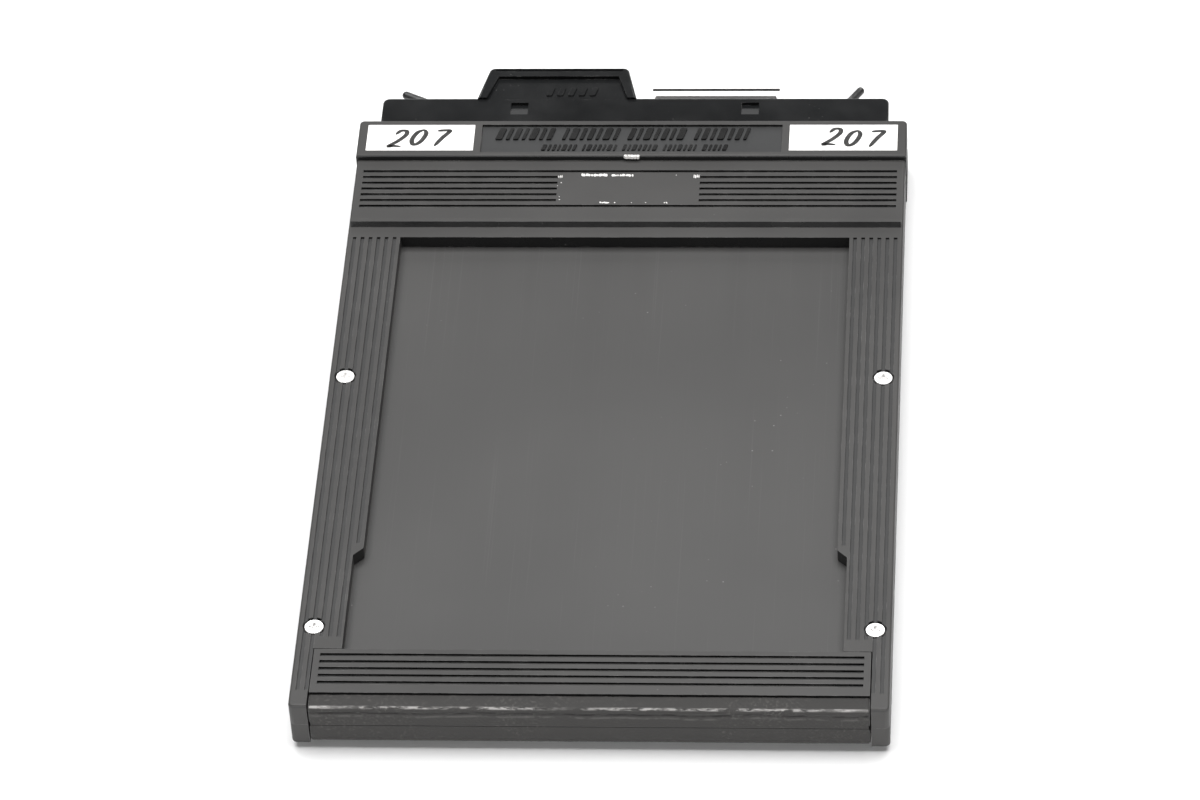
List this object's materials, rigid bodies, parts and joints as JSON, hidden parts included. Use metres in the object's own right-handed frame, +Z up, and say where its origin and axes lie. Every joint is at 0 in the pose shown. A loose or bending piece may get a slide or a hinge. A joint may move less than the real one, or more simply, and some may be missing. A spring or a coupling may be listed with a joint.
{
  "type": "sheet film holder",
  "caption": "Double-sided sheet film holder for 4 x 5 inch film, with pull-out dark slides, hinged loading flaps, swivelling lock hooks and ribbed black plastic frames.",
  "frame": {"origin": "middle of the holder's length and width, on the surface it lies on", "axes": "+X across the holder, +Y along it towards the handles, +Z up out of the front face"},
  "size_m": [0.1204, 0.194, 0.0138],
  "materials": {
    "black_plastic": "satin black moulded plastic, fine grain, scuffed edges",
    "handle_plastic": "satin black moulded plastic",
    "slide_sheet": "smooth black sheet with fine lengthwise scratches",
    "marker_white": "satin white plastic",
    "label_white": "matt white writing label",
    "septum_metal": "black anodised",
    "guide_metal": "black anodised",
    "felt": "black felt",
    "hinge_cloth": "black woven binding tape",
    "spring_steel": "spring steel",
    "screw_steel": "bright nickel plated",
    "hook_wire": "blackened wire, worn",
    "brass": "plain brass"
  },
  "bodies": {
    "root": {"back_film_guide_left": "guide_metal", "back_film_guide_right": "guide_metal", "back_frame": "black_plastic", "back_label_left": "label_white", "back_label_right": "label_white", "back_light_trap_felt": "felt", "back_light_trap_spring": "spring_steel", "frame_screws": "screw_steel", "front_film_guide_left": "guide_metal", "front_film_guide_right": "guide_metal", "front_frame": "black_plastic", "front_label_left": "label_white", "front_label_right": "label_white", "front_light_trap_felt": "felt", "front_light_trap_spring": "spring_steel", "hook_bushes": "brass", "screw_inserts": "brass", "septum": "septum_metal"},
    "front_slide": {"front_slide_sheet": "slide_sheet", "front_slide_handle": "handle_plastic", "front_slide_marker": "marker_white"},
    "back_slide": {"back_slide_sheet": "slide_sheet", "back_slide_handle": "handle_plastic", "back_slide_marker": "marker_white"},
    "front_flap": {"front_flap": "black_plastic", "front_flap_felt": "felt", "front_hinge_tape": "hinge_cloth"},
    "back_flap": {"back_flap": "black_plastic", "back_flap_felt": "felt", "back_hinge_tape": "hinge_cloth"},
    "left_hook": {"left_hook": "hook_wire"},
    "right_hook": {"right_hook": "hook_wire"}
  },
  "joints": [
    {"name": "front_slide_pull", "type": "slide", "parent": "root", "child": "front_slide", "axis": [0, 1, 0], "range_m": [0, 0.182]},
    {"name": "back_slide_pull", "type": "slide", "parent": "root", "child": "back_slide", "axis": [0, 1, 0], "range_m": [0, 0.182]},
    {"name": "front_flap_hinge", "type": "hinge", "parent": "root", "child": "front_flap", "pos_m": [0, -0.09675, 0.0069], "axis": [1, 0, 0], "range_deg": [0, 90]},
    {"name": "back_flap_hinge", "type": "hinge", "parent": "root", "child": "back_flap", "pos_m": [0, -0.09675, 0.0069], "axis": [-1, 0, 0], "range_deg": [0, 90]},
    {"name": "left_hook_swivel", "type": "hinge", "parent": "root", "child": "left_hook", "pos_m": [-0.0465, 0.07815, 0.0069], "axis": [0, 1, 0], "range_deg": [-90, 90]},
    {"name": "right_hook_swivel", "type": "hinge", "parent": "root", "child": "right_hook", "pos_m": [0.0465, 0.07815, 0.0069], "axis": [0, -1, 0], "range_deg": [-90, 90]}
  ]
}
